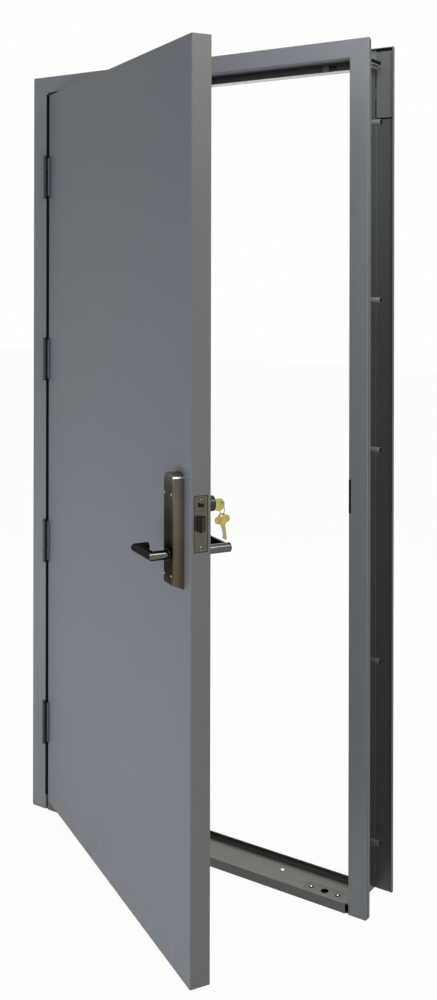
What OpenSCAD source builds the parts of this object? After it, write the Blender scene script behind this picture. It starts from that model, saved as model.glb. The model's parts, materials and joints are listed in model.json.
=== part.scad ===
// Steel fire door: a flush leaf hung on four butt hinges in a pressed steel frame,
// with a sill, boxed lever trims, a latch lock and its key.
// Millimetres. X runs along the wall, Y through it (front face at -Y), Z up.
// The origin lies on the underside of the sill, in the middle of the frame.

/* [Frame] */
// Overall width of the frame
frame_w = 1118; // [900:1:1400]
// Overall height of the frame
frame_h = 2200; // [1900:1:2600]
// Depth of the frame through the wall
frame_d = 155; // [140:1:220]
// Width of the jamb faces
jamb_face = 54; // [40:1:80]
// Height of the head face
head_face = 48; // [40:1:80]
// Sheet thickness of the frame
frame_t = 1.5; // [1.2:0.1:2.5]
// Outer bend radius of the frame sheet
frame_bend = 3; // [2.4:0.1:5]
// Depth of the throat returns
return_d = 13; // [8:1:20]
// Depth of the rebate that takes the leaf
rebate_d = 56; // [56:1:62]
// Width of the stop
stop_w = 42; // [30:1:60]
// Projection of the stop
stop_h = 18; // [12:1:25]

/* [Sill] */
// Height of the sill tread
sill_h = 25; // [15:1:40]
// Depth of the sill tread
sill_d = 100; // [80:1:110]
// How far the sill stands in front of the frame face
sill_nose = 0; // [0:1:10]
// Height of the rear upstand above the tread
upstand_h = 14; // [6:1:20]
// Thickness of the sill metal
sill_t = 3; // [2:0.5:5]

/* [Leaf] */
// Thickness of the leaf
leaf_t = 50; // [40:1:50]
// Clearance at the sides of the leaf
side_gap = 5; // [5:0.5:8]
// Clearance over the leaf
top_gap = 10; // [6:0.5:14]
// Clearance under the leaf, over the sill
bottom_gap = 5; // [5:0.5:15]
// Sheet thickness of the leaf
leaf_sheet = 1.2; // [0.8:0.1:2]
// Outer bend radius of the leaf edges
leaf_bend = 3; // [2:0.1:6]
// Angle at which the leaf stands open
leaf_open = 30; // [0:1:150]

/* [Hinges] */
// Centre of the lowest hinge above the foot of the leaf
hinge_low = 235; // [180:1:300]
// Centre of the highest hinge below the top of the leaf
hinge_high = 244; // [180:1:300]
// Height of a hinge
hinge_h = 122; // [90:1:130]
// Barrel diameter
barrel_dia = 15; // [12:0.5:18]
// Distance from the barrels to the leaf face
barrel_stand = 4; // [0.3:0.1:6]
// Pin diameter
pin_dia = 8; // [6:0.5:10]
// Leaf thickness of a hinge
hinge_t = 3; // [2:0.5:4]

/* [Lock] */
// Height of the faceplate centre above the lever axis
lock_rise = 75; // [60:1:90]
// Faceplate height
plate_h = 124; // [100:1:240]
// Faceplate width
plate_w = 32; // [20:1:34]
// Latch bolt height
latch_h = 32; // [20:1:40]
// Latch bolt width
latch_w = 20; // [10:1:22]
// Latch bolt throw
latch_throw = 18; // [12:1:20]
// Backset from the leaf edge to the lever axis
backset = 60; // [55:1:80]
// Height of the strike opening
strike_h = 85; // [70:1:110]

/* [Trim] */
// Width of the lever housings
trim_w = 52; // [40:1:70]
// Depth of the front lever housing
trim_d = 28; // [20:1:40]
// Depth of the back lever housing
back_trim_d = 12; // [10:1:40]
// Reach of the housings below the lever axis
trim_below = 76; // [60:1:120]
// Reach of the housings above the cylinder axis
trim_above = 78; // [40:1:90]
// Height of the lever axis
lever_z = 981; // [900:1:1050]
// Diameter of the lever bar
lever_dia = 21.5; // [16:0.5:24]
// Distance from the front housing to the outside of the lever
lever_reach = 50; // [40:1:70]
// Length of the lever from its axis
lever_len = 97; // [85:1:140]
// Length of the return at the lever tip
lever_return = 38; // [20:1:44]

/* [Key] */
// Height of the lock cylinder above the lever axis
key_rise = 105; // [100:1:140]
// Diameter of the cylinder collar
collar_dia = 36; // [30:1:44]
// Diameter of the key bow
bow_dia = 30; // [22:1:34]
// Outer diameter of the key ring
ring_dia = 27; // [20:1:34]

/* [Hidden] */
$fn = 64;
front_y = -frame_d / 2;
rear_y = frame_d / 2;
half_w = frame_w / 2;
open_x = half_w - jamb_face;
stop_x = open_x - stop_h;
soffit_z = frame_h - head_face;
stop_z = soffit_z - stop_h;
stop_y0 = front_y + rebate_d;
stop_y1 = stop_y0 + stop_w;
stop_mid_y = (stop_y0 + stop_y1) / 2;
leaf_x0 = -open_x + side_gap;
leaf_x1 = open_x - side_gap;
leaf_y0 = front_y;
leaf_y1 = front_y + leaf_t;
leaf_mid_y = front_y + leaf_t / 2;
leaf_z0 = sill_h + bottom_gap;
leaf_z1 = soffit_z - top_gap;
leaf_w = leaf_x1 - leaf_x0;
leaf_h = leaf_z1 - leaf_z0;
hinge_z = leaf_z0 + hinge_low;
hinge_step = (leaf_h - hinge_low - hinge_high) / 3;
lock_z = lever_z + lock_rise;
key_z = lever_z + key_rise;
trim_z = lever_z - trim_below;
trim_h = trim_below + key_rise + trim_above;
pin_x = -open_x + side_gap / 2;
pin_y = front_y - barrel_dia / 2 - barrel_stand;
knuckle_gap = 0.3;
end_h = 0.18 * hinge_h;
link_h = 0.155 * hinge_h;
knuckle_hs = [end_h, link_h, hinge_h - 2 * end_h - 2 * link_h - 4 * knuckle_gap, link_h, end_h];
knuckle_zs = [
    0,
    end_h + knuckle_gap,
    end_h + link_h + 2 * knuckle_gap,
    hinge_h - end_h - link_h - knuckle_gap,
    hinge_h - end_h
];
hinge_depth = 44;
pin_play = 0.05;
lever_x = leaf_x1 - backset;
lever_play = 0.05;
seat = 0.3;
anchor_low = 161;
anchor_span = frame_h - 203 - anchor_low;
anchor_zs = [for (part = [0, 0.252, 0.545, 0.753, 1]) anchor_low + anchor_span * part];
anchor_dia = 19;
anchor_bore = 11;
rod_x = leaf_x1 - 74;
rod_dia = 14;
rod_len = 60;
aux_z = lock_z + 42;
aux_throw = side_gap - 0.5;
strike_z = lock_z - 5;
plug_dia = 14;
key_t = 2.2;
back_reach = lever_reach + trim_d - back_trim_d;
back_y = leaf_y1 + back_trim_d;
collar_h = 32 - back_trim_d;
bow_y = 49 - back_trim_d;
bow_drop = 5;
bow_hole = 8;
bow_hole_y = bow_y + 8;
ring_wire = 1.8;
ring_r = ring_dia / 2 - ring_wire / 2;
ring_z = key_z - bow_hole / 2 + ring_wire / 2 + seat - ring_r;
spare_hole = 6;
spare_lean = 8;
tiny = 0.01;

// ---- Shared shapes ----

// A folded strip of sheet: the points follow its middle and every bend is square
module fold(points, t, r) {
    mid = r - t / 2;
    last = len(points) - 1;
    for (i = [0:last - 1]) {
        a = points[i];
        b = points[i + 1];
        d = (b - a) / norm(b - a);
        p = (i == 0) ? a : a + d * mid;
        q = (i == last - 1) ? b : b - d * mid;
        lo = [min(p.x, q.x), min(p.y, q.y)];
        hi = [max(p.x, q.x), max(p.y, q.y)];
        flat = [abs(d.y), abs(d.x)] * t / 2;
        translate(lo - flat)
            square(hi - lo + 2 * flat);
    }
    for (i = [1:last - 1]) {
        d1 = (points[i] - points[i - 1]) / norm(points[i] - points[i - 1]);
        d2 = (points[i + 1] - points[i]) / norm(points[i + 1] - points[i]);
        c = points[i] - d1 * mid + d2 * mid;
        out = d1 - d2;
        translate(c)
            intersection() {
                difference() {
                    circle(r = r);
                    circle(r = r - t);
                }
                translate([min(0, out.x) * r, min(0, out.y) * r])
                    square(r);
            }
    }
}

// The double rebate profile, from the front return to the rear one:
// x is the distance from the outside of the frame, y runs through the wall
function profile(face) = [
    [0, front_y + return_d],
    [0, front_y],
    [face, front_y],
    [face, stop_y0],
    [face + stop_h, stop_y0],
    [face + stop_h, stop_y1],
    [face, stop_y1],
    [face, rear_y],
    [0, rear_y],
    [0, rear_y - return_d]
];

// Shift from the outside of the sheet to its middle, point by point
function shift() = [
    [1, 0], [1, 1], [-1, 1], [-1, 1], [-1, 1], [-1, -1], [-1, -1], [-1, -1], [1, -1], [1, 0]
] * frame_t / 2;

module section(face) {
    p = profile(face);
    s = shift();
    fold([for (i = [0:len(p) - 1]) p[i] + s[i]], frame_t, frame_bend);
}

module right_jamb_bar() {
    translate([half_w, 0, 0])
        mirror([1, 0, 0])
            linear_extrude(frame_h)
                section(jamb_face);
}

// The room of the head: its slanted ends are the mitres on the jambs
module head_zone() {
    past = 10;
    rotate([90, 0, 0])
        linear_extrude(2 * frame_d, center = true)
            polygon([
                [-half_w - jamb_face, frame_h + head_face],
                [-open_x, soffit_z],
                [-stop_x + past, stop_z - past],
                [stop_x - past, stop_z - past],
                [open_x, soffit_z],
                [half_w + jamb_face, frame_h + head_face]
            ]);
}

// What is nipped off the returns at the upper corners and off the feet of the jambs
module nips() {
    for (side = [0, 1])
        mirror([side, 0, 0]) {
            translate([half_w - 14, 0, frame_h])
                rotate([90, 0, 90])
                    linear_extrude(15)
                        polygon([[front_y + 2, 1], [front_y + return_d + 1, -6], [front_y + return_d + 1, 1]]);
            translate([half_w - 4, 0, frame_h])
                rotate([90, 0, 90])
                    linear_extrude(5)
                        polygon([[rear_y - 6, 1], [rear_y + 1, 1], [rear_y + 1, -6]]);
            rotate([90, 0, 0])
                linear_extrude(2 * frame_d, center = true)
                    polygon([[half_w - 6, -1], [half_w + 1, -1], [half_w + 1, 6]]);
        }
}

module anchor_holes(side) {
    for (z = anchor_zs)
        translate([side * (half_w + 5), stop_mid_y, z])
            rotate([0, -side * 90, 0])
                cylinder(d = anchor_bore, h = jamb_face + stop_h + 10);
}

module anchor_tubes(side) {
    start = stop_x + frame_t;
    for (z = anchor_zs)
        translate([side * start, stop_mid_y, z])
            rotate([0, side * 90, 0])
                difference() {
                    cylinder(d = anchor_dia, h = half_w - start);
                    translate([0, 0, -1])
                        cylinder(d = anchor_bore, h = half_w - start + 2);
                }
}

module swung() {
    translate([pin_x, pin_y, 0])
        rotate([0, 0, -leaf_open])
            translate([-pin_x, -pin_y, 0])
                children();
}

// ---- Frame ----

module strike_notch() {
    translate([open_x - 1, front_y - 1, strike_z - strike_h / 2])
        cube([7.5, plate_w + 9, strike_h]);
}

module head() {
    color("SlateGray")
        difference() {
            intersection() {
                translate([-half_w, 0, frame_h])
                    rotate([0, 90, 0])
                        linear_extrude(frame_w)
                            section(head_face);
                head_zone();
            }
            head_strike_plate();
            nips();
        }
}

module strike_jamb() {
    color("SlateGray")
        difference() {
            right_jamb_bar();
            head_zone();
            nips();
            strike_notch();
            anchor_holes(1);
        }
}

module hinge_jamb() {
    color("SlateGray")
        difference() {
            mirror([1, 0, 0])
                right_jamb_bar();
            head_zone();
            nips();
            anchor_holes(-1);
            for (i = [0:3])
                translate([-open_x - hinge_t, front_y - 1, hinge_z + i * hinge_step - hinge_h / 2])
                    cube([hinge_t + 1, hinge_depth + 1, hinge_h]);
        }
}

module sill_bar() {
    y0 = front_y - sill_nose;
    y1 = y0 + sill_d;
    difference() {
        translate([-open_x, y0, 0])
            cube([2 * open_x, sill_d, sill_h]);
        translate([-open_x - 1, y0 + sill_t, sill_t])
            cube([2 * open_x + 2, sill_d - 2 * sill_t, sill_h - 2 * sill_t]);
    }
    translate([-stop_x, y1 - sill_t, 0])
        cube([2 * stop_x, sill_t, sill_h + upstand_h]);
}

module sill() {
    color("DimGray")
        difference() {
            sill_bar();
            for (side = [-1, 1])
                translate([side > 0 ? stop_x : -open_x - 1, stop_y0, -1])
                    cube([stop_h + 1, sill_d, sill_h + upstand_h + 2]);
            translate([open_x - 8, front_y - sill_nose - 1, -1])
                cube([9, sill_nose + 5, sill_h + 2]);
            translate([-open_x - 1, front_y - sill_nose - 1, -1])
                cube([9, sill_nose + 5, sill_h + 2]);
            translate([rod_x - 54, leaf_mid_y - 17, sill_h - 2])
                cube([108, 34, 3]);
            translate([rod_x, leaf_mid_y, sill_h - sill_t - 1])
                cylinder(d = 24, h = sill_t + 2);
        }
}

module strike_jamb_anchors() {
    color("Gray")
        anchor_tubes(1);
}

module hinge_jamb_anchors() {
    color("Gray")
        anchor_tubes(-1);
}

// A splice plate behind the rear face, welded to the jamb and to the head
module gusset(side) {
    plate_w_x = jamb_face - 7;
    below = 134;
    y = rear_y - frame_t - 2;
    translate([side > 0 ? half_w - plate_w_x - 4 : -half_w + 4, y, soffit_z - below])
        cube([plate_w_x, 2, below + head_face - 6]);
}

module strike_corner_gusset() {
    color("LightSteelBlue")
        gusset(1);
}

module hinge_corner_gusset() {
    color("LightSteelBlue")
        gusset(-1);
}

module seal_bar(length) {
    translate([0, -2, 0])
        cube([12, 2, length]);
    translate([6, -3, 0])
        cylinder(d = 4, h = length);
}

module stop_seal() {
    z0 = sill_h;
    side_h = soffit_z - 2 - z0;
    color("Black") {
        translate([stop_x + 3, stop_y0, z0])
            seal_bar(side_h);
        translate([-stop_x - 15, stop_y0, z0])
            seal_bar(side_h);
        difference() {
            translate([-stop_x - 3, stop_y0, stop_z + 3])
                rotate([0, 90, 0])
                    mirror([1, 0, 0])
                        seal_bar(2 * stop_x + 6);
            translate([rod_x - 27, stop_y0 - 6, stop_z])
                cube([20, 7, stop_h]);
        }
    }
}

// The strike plate behind the jamb, and its lip that fills the notch up to the front face
module strike_plate() {
    color("DarkGray") {
        difference() {
            translate([open_x + frame_t, front_y + 6, strike_z - strike_h / 2 - 14])
                cube([2, plate_w + 4, strike_h + 28]);
            translate([open_x, front_y + 6.5, strike_z - strike_h / 2])
                cube([5, plate_w + 0.5, strike_h]);
        }
        translate([open_x + seat, front_y + seat, strike_z - strike_h / 2 + seat])
            cube([6.5 - 2 * seat, 6 - seat, strike_h - 2 * seat]);
        translate([open_x + frame_t, front_y + 5, strike_z - strike_h / 2 + seat])
            cube([2, 1.5, strike_h - 2 * seat]);
    }
}

module strike_box() {
    color("Black")
        translate([open_x + frame_t + 2, front_y + 6, strike_z - strike_h / 2 - 5])
            difference() {
                cube([28, plate_w + 4, strike_h + 10]);
                translate([-1, 1.5, 1.5])
                    cube([27.5, plate_w + 1, strike_h + 7]);
            }
}

// The plate of the upper strike, set flush in the soffit, and its tongue down the stop
module head_strike_plate() {
    translate([rod_x - 45, leaf_mid_y - 15, soffit_z])
        cube([90, 30, frame_t + 0.5]);
    translate([rod_x - 26, leaf_mid_y, soffit_z])
        cube([18, stop_y0 - leaf_mid_y, frame_t + 0.5]);
    translate([rod_x - 26, stop_y0 - 2, stop_z + 1])
        cube([18, 2, stop_h + frame_t - 1]);
}

module head_strike() {
    color("Gray")
        difference() {
            head_strike_plate();
            translate([rod_x, leaf_mid_y, soffit_z - 1])
                cylinder(d = 18, h = 5);
        }
}

module sill_strike() {
    color("Gray")
        difference() {
            translate([rod_x - 54, leaf_mid_y - 17, sill_h - 2])
                cube([108, 34, 1.6]);
            translate([rod_x, leaf_mid_y, sill_h - 3])
                cylinder(d = 20, h = 4);
            for (side = [-1, 1])
                translate([rod_x + side * 38, leaf_mid_y, sill_h - 3])
                    cylinder(d = 5, h = 4);
        }
}

// ---- Hinges ----

module knuckle(z, n) {
    translate([pin_x, pin_y, z - hinge_h / 2 + knuckle_zs[n]])
        difference() {
            cylinder(d = barrel_dia, h = knuckle_hs[n]);
            translate([0, 0, -1])
                cylinder(d = pin_dia + 2 * pin_play, h = knuckle_hs[n] + 2);
        }
}

// One hinge leaf: a plate on the edge and a link from it to each knuckle
module hinge_wing(z, edge_x, side, knuckles) {
    plate_x = side > 0 ? edge_x : edge_x - hinge_t;
    z0 = z - hinge_h / 2;
    difference() {
        union() {
            translate([plate_x, front_y, z0])
                cube([hinge_t, hinge_depth, hinge_h]);
            for (n = knuckles)
                translate([plate_x, pin_y, z0 + knuckle_zs[n]])
                    cube([hinge_t, front_y - pin_y + tiny, knuckle_hs[n]]);
            for (n = knuckles)
                knuckle(z, n);
        }
        translate([pin_x, pin_y, z0 - 1])
            cylinder(d = pin_dia + 2 * pin_play, h = hinge_h + 2);
    }
}

module frame_hinge(i) {
    color("LightSlateGray")
        hinge_wing(hinge_z + i * hinge_step, -open_x, -1, [0, 2, 4]);
}

module door_hinge(i) {
    color("LightSlateGray")
        swung()
            hinge_wing(hinge_z + i * hinge_step, leaf_x0, 1, [1, 3]);
}

module hinge_pin(i) {
    z = hinge_z + i * hinge_step;
    color("Silver")
        translate([pin_x, pin_y, z - hinge_h / 2 - 1.5]) {
            cylinder(d = pin_dia, h = hinge_h + 3);
            translate([0, 0, hinge_h + 1.8])
                cylinder(d = pin_dia + 4, h = 3);
        }
}

// ---- Leaf ----

module leaf_skin_front() {
    hem = 14;
    s = leaf_sheet / 2;
    fold([
        [leaf_x0 + hem, leaf_y1 - s],
        [leaf_x0 + s, leaf_y1 - s],
        [leaf_x0 + s, leaf_y0 + s],
        [leaf_x1 - s, leaf_y0 + s],
        [leaf_x1 - s, leaf_y1 - s],
        [leaf_x1 - hem, leaf_y1 - s]
    ], leaf_sheet, leaf_bend);
}

module leaf_front() {
    color("SlateGray")
        swung()
            difference() {
                translate([0, 0, leaf_z0])
                    linear_extrude(leaf_h)
                        leaf_skin_front();
                for (i = [0:3])
                    translate([leaf_x0 - 1, leaf_y0 - 1, hinge_z + i * hinge_step - hinge_h / 2])
                        cube([hinge_t + 1, hinge_depth + 1, hinge_h]);
                translate([leaf_x1 - leaf_sheet - 1, leaf_mid_y - plate_w / 2, lock_z - plate_h / 2])
                    cube([leaf_sheet + 2, plate_w, plate_h]);
            }
}

module leaf_back() {
    color("SlateGray")
        swung()
            translate([leaf_x0 + 14.5, leaf_y1 - leaf_sheet, leaf_z0])
                cube([leaf_w - 29, leaf_sheet, leaf_h]);
}

module leaf_channel(z, up) {
    inset = leaf_sheet + seat;
    depth = leaf_t - 2 * inset;
    difference() {
        translate([leaf_x0 + leaf_bend, leaf_y0 + inset, z])
            cube([leaf_w - 2 * leaf_bend, depth, 20]);
        translate([leaf_x0, leaf_y0 + inset + 1.5, up ? z - 1 : z + 1.5])
            cube([leaf_w, depth - 3, 19.5]);
        translate([rod_x, leaf_mid_y, z - 1])
            cylinder(d = rod_dia + 2, h = 22);
    }
}

module leaf_top_channel() {
    color("SlateGray")
        swung()
            leaf_channel(leaf_z1 - 20, true);
}

module leaf_bottom_channel() {
    color("SlateGray")
        swung()
            leaf_channel(leaf_z0, false);
}

module leaf_core() {
    inset = leaf_sheet + seat;
    color("Wheat")
        swung()
            difference() {
                translate([leaf_x0 + leaf_bend, leaf_y0 + inset, leaf_z0 + 20.3])
                    cube([leaf_w - 2 * leaf_bend, leaf_t - 2 * inset, leaf_h - 40.6]);
                translate([leaf_x1 - 118, leaf_mid_y - 16.5, lock_z - plate_h / 2 - 1])
                    cube([120, 33, plate_h + 2]);
                for (i = [0:3])
                    translate([leaf_x0, leaf_y0, hinge_z + i * hinge_step - hinge_h / 2 - 1])
                        cube([hinge_t + 1, leaf_t, hinge_h + 2]);
                for (z = [leaf_z0, leaf_z1 - rod_len])
                    translate([rod_x, leaf_mid_y, z - 1])
                        cylinder(d = rod_dia + 0.1, h = rod_len + 2);
            }
}

// ---- Lock ----

module lock_body() {
    case_t = 26;
    case_x = leaf_x1 - 112;
    color("Tan")
        swung()
            difference() {
                union() {
                    translate([leaf_x1 - 2.5, leaf_mid_y - plate_w / 2 + 0.1, lock_z - plate_h / 2 + 0.1])
                        cube([2.5, plate_w - 0.2, plate_h - 0.2]);
                    translate([case_x, leaf_mid_y - case_t / 2, lock_z - 56])
                        cube([leaf_x1 - 2.5 - case_x, case_t, 112]);
                }
                translate([leaf_x1 - 62, leaf_mid_y - latch_w / 2 - 0.5, lock_z - latch_h / 2 - 0.5])
                    cube([70, latch_w + 1, latch_h + 1]);
                translate([leaf_x1 - 45, leaf_mid_y - 6.5, aux_z - 4.5])
                    cube([50, 13, 9]);
            }
}

module rod_bolt(z) {
    translate([rod_x, leaf_mid_y, z])
        cylinder(d = rod_dia, h = rod_len);
}

module top_rod_bolt() {
    color("Silver")
        swung()
            rod_bolt(leaf_z1 - rod_len);
}

module bottom_rod_bolt() {
    color("Silver")
        swung()
            rod_bolt(leaf_z0);
}

module latch_bolt() {
    x1 = leaf_x1 + latch_throw;
    color("DarkGoldenrod")
        swung()
            difference() {
                translate([leaf_x1 - 36, leaf_mid_y - latch_w / 2, lock_z - latch_h / 2])
                    cube([36 + latch_throw, latch_w, latch_h]);
                translate([leaf_x1 + 3, leaf_mid_y + latch_w / 2, lock_z - latch_h / 2 - 1])
                    rotate([0, 0, -45])
                        translate([-1, 0, 0])
                            cube([latch_throw * 2, latch_w, latch_h + 2]);
            }
}

module aux_latch() {
    color("DarkGoldenrod")
        swung()
            translate([leaf_x1 - 26, leaf_mid_y - 6, aux_z - 4])
                cube([26 + aux_throw, 12, 8]);
}

// ---- Trim ----

// A housing on the leaf face at y = 0, standing towards -y
module housing(depth) {
    r = 17;
    slant = 0.4 * depth;
    edge = 4;
    intersection() {
        translate([-trim_w / 2, 1, 0])
            rotate([90, 0, 0])
                linear_extrude(depth + 2) {
                    square([trim_w, trim_h - r]);
                    translate([r, trim_h - 2 * r])
                        square([trim_w - 2 * r, 2 * r]);
                    for (x = [r, trim_w - r])
                        translate([x, trim_h - r])
                            circle(r = r);
                }
        translate([-trim_w / 2 - 1, 0, 0])
            rotate([90, 0, 90])
                linear_extrude(trim_w + 2)
                    polygon([[0, 0], [-depth, slant], [-depth, trim_h + 1], [0, trim_h + 1]]);
        translate([-trim_w / 2, -depth, -1])
            linear_extrude(trim_h + 2) {
                translate([edge, 0])
                    square([trim_w - 2 * edge, edge]);
                translate([0, edge])
                    square([trim_w, depth - edge]);
                for (x = [edge, trim_w - edge])
                    translate([x, edge])
                        circle(r = edge);
            }
    }
}

// A block that takes away all that lies on the side that the angle points to
module cut_away(angle) {
    big = 300;
    rotate([0, 0, angle])
        translate([0, -big, -big / 2])
            cube([big, 2 * big, big]);
}

// A lever about the Y axis: neck, mitred corner, arm towards -X and a return
module lever_shape(reach) {
    out = -reach + lever_dia / 2;
    tip = -lever_len + lever_dia / 2;
    hold = 10;
    difference() {
        translate([0, hold, 0])
            rotate([90, 0, 0])
                cylinder(d = lever_dia, h = hold + reach + lever_dia);
        translate([0, out, 0])
            cut_away(225);
    }
    difference() {
        translate([lever_dia, out, 0])
            rotate([0, -90, 0])
                cylinder(d = lever_dia, h = lever_len + lever_dia);
        translate([0, out, 0])
            cut_away(45);
        translate([tip, out, 0])
            cut_away(135);
    }
    difference() {
        translate([tip, -reach - lever_dia, 0])
            rotate([-90, 0, 0])
                cylinder(d = lever_dia, h = lever_return + lever_dia);
        translate([tip, out, 0])
            cut_away(-45);
    }
}

module housing_bore() {
    translate([0, 1, lever_z - trim_z])
        rotate([90, 0, 0])
            cylinder(d = lever_dia + 2 * lever_play, h = trim_d + back_trim_d);
}

module front_housing() {
    color("DarkKhaki")
        swung()
            translate([lever_x, leaf_y0, trim_z])
                difference() {
                    housing(trim_d);
                    housing_bore();
                }
}

module back_housing() {
    color("DarkKhaki")
        swung()
            translate([lever_x, leaf_y1, trim_z])
                mirror([0, 1, 0])
                    difference() {
                        housing(back_trim_d);
                        housing_bore();
                    }
}

module front_lever() {
    color("Khaki")
        swung()
            translate([lever_x, leaf_y0 - trim_d, lever_z])
                lever_shape(lever_reach);
}

module back_lever() {
    color("Khaki")
        swung()
            translate([lever_x, back_y, lever_z])
                mirror([0, 1, 0])
                    lever_shape(back_reach);
}

// ---- Cylinder and keys ----

module lock_cylinder() {
    color("Goldenrod")
        swung()
            translate([lever_x, back_y, key_z])
                rotate([-90, 0, 0])
                    difference() {
                        cylinder(d = collar_dia, h = collar_h);
                        translate([0, 0, -1])
                            cylinder(d = plug_dia + 2 * lever_play, h = collar_h + 2);
                    }
}

// The key stands in its plug, with the bow below the axis
module key() {
    color("Gold")
        swung()
            translate([lever_x, back_y, key_z]) {
                translate([0, 0.5, 0])
                    rotate([-90, 0, 0])
                        cylinder(d = plug_dia, h = collar_h);
                translate([-key_t / 2, collar_h, -4.5])
                    cube([key_t, 6, 8]);
                translate([-key_t / 2, bow_y, 0])
                    rotate([0, 90, 0])
                        difference() {
                            translate([bow_drop, 0, 0])
                                cylinder(d = bow_dia, h = key_t);
                            translate([0, bow_hole_y - bow_y, -1])
                                cylinder(d = bow_hole, h = key_t + 2);
                        }
            }
}

// The ring hangs through the bow, square to it
module key_ring() {
    color("Silver")
        swung()
            translate([lever_x, back_y + bow_hole_y, ring_z])
                rotate([90, 0, 0])
                    rotate_extrude()
                        translate([ring_r, 0])
                            circle(d = ring_wire, $fn = 24);
}

// The flat of a key with a bow of four lobes, hung by the hole at the origin
module spare_shape() {
    translate([4.5, 0, 0])
        cylinder(d = 20, h = key_t);
    for (side = [-1, 1])
        translate([10, side * 10, 0])
            cylinder(d = 18, h = key_t);
    translate([14, 0, 0])
        cylinder(d = 21, h = key_t);
    linear_extrude(key_t)
        polygon([
            [20, -5], [30, -5], [33, -2.5], [36, -5], [39, -2], [42, -4], [45, -1.5], [48, -4.5],
            [53, -4.5], [59, 1], [55, 5], [20, 5]
        ]);
}

module spare_key() {
    hang_z = ring_z - ring_r - spare_hole / 2 + ring_wire / 2 + seat;
    color("Gold")
        swung()
            translate([lever_x - key_t / 2, back_y + bow_hole_y, hang_z])
                rotate([0, 90, 0])
                    rotate([0, 0, spare_lean])
                        difference() {
                            spare_shape();
                            translate([0, 0, -1])
                                cylinder(d = spare_hole, h = key_t + 2);
                        }
}

head();
hinge_jamb();
strike_jamb();
sill();
hinge_jamb_anchors();
strike_jamb_anchors();
hinge_corner_gusset();
strike_corner_gusset();
stop_seal();
strike_plate();
strike_box();
head_strike();
sill_strike();
frame_hinge(0);  // frame_hinge_1
frame_hinge(1);  // frame_hinge_2
frame_hinge(2);  // frame_hinge_3
frame_hinge(3);  // frame_hinge_4
hinge_pin(0);  // hinge_pin_1
hinge_pin(1);  // hinge_pin_2
hinge_pin(2);  // hinge_pin_3
hinge_pin(3);  // hinge_pin_4
leaf_front();
leaf_back();
leaf_top_channel();
leaf_bottom_channel();
leaf_core();
door_hinge(0);  // door_hinge_1
door_hinge(1);  // door_hinge_2
door_hinge(2);  // door_hinge_3
door_hinge(3);  // door_hinge_4
lock_body();
top_rod_bolt();
bottom_rod_bolt();
front_housing();
back_housing();
lock_cylinder();
front_lever();
back_lever();
latch_bolt();
aux_latch();
key();
key_ring();
spare_key();
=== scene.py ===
import json
import math

import bpy
from mathutils import Matrix, Vector


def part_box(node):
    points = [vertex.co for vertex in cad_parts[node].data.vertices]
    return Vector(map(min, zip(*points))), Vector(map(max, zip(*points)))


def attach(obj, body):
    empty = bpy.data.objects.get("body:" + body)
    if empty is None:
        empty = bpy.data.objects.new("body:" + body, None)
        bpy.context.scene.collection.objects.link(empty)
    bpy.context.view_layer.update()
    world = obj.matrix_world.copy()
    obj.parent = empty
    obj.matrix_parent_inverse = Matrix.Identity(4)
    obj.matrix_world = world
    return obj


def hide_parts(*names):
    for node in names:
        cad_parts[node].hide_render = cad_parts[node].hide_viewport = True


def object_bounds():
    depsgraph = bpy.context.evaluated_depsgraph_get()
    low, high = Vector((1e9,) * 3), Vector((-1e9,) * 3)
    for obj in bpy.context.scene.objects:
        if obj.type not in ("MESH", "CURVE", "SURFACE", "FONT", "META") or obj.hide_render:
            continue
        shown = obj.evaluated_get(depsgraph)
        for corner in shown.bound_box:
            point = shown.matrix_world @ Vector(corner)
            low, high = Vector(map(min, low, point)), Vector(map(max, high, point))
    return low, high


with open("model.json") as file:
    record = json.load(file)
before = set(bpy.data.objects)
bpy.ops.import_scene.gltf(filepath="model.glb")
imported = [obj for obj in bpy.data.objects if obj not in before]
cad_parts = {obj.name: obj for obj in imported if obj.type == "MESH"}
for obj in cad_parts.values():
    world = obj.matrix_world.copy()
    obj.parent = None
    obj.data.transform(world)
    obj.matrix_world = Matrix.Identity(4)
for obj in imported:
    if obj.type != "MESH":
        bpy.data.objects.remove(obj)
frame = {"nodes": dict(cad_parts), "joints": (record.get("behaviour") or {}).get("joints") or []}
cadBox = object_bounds()
nodes = frame["nodes"]
scene = bpy.context.scene
scene.view_settings.view_transform = "Standard"

# ---- where things are ----

leafSwing = next(j for j in frame["joints"] if j["name"] == "leaf_swing")
pin = Vector(leafSwing["pos_m"])
openAngle = math.radians(-leafSwing["range_deg"][0])
toOpen = Matrix.Translation(pin) @ Matrix.Rotation(-openAngle, 4, "Z") @ Matrix.Translation(-pin)
toShut = toOpen.inverted()


def shutBox(name):
    points = [toShut @ v.co for v in nodes[name].data.vertices]
    low = Vector(min(p[i] for p in points) for i in range(3))
    high = Vector(max(p[i] for p in points) for i in range(3))
    return low, high


jambLow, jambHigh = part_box("strike_jamb")
headLow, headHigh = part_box("head")
sealLow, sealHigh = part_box("stop_seal")
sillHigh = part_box("sill")[1]
leafLow, leafHigh = shutBox("leaf_front")
frontY = jambLow.y
rearY = jambHigh.y
halfWidth = headHigh.x
faceX = sillHigh.x
stopX = jambLow.x
stopWidth = 0.042
halfSheet = 0.00075
leafMidY = (leafLow.y + leafHigh.y) / 2
leafTurn = toOpen.to_3x3()


# A plane of the shut leaf as a zone needs it in the open leaf: its direction, and the places
# along it where the zone starts and where it is full
def leafPlane(direction, point, start, full):
    towards = leafTurn @ Vector(direction).normalized()
    place = towards.dot(toOpen @ Vector(point))
    return tuple(towards), place + start, place + full


print("frame loaded:", len(nodes), "nodes")

# ---- camera ----

cameraSettings = {
    "place": (1.7817, -2.6156, 1.6121),
    "heading": 0.5817,
    "roll": -0.0019,
    "lens": 40.44,
    "shiftY": -0.2272,
}


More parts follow.
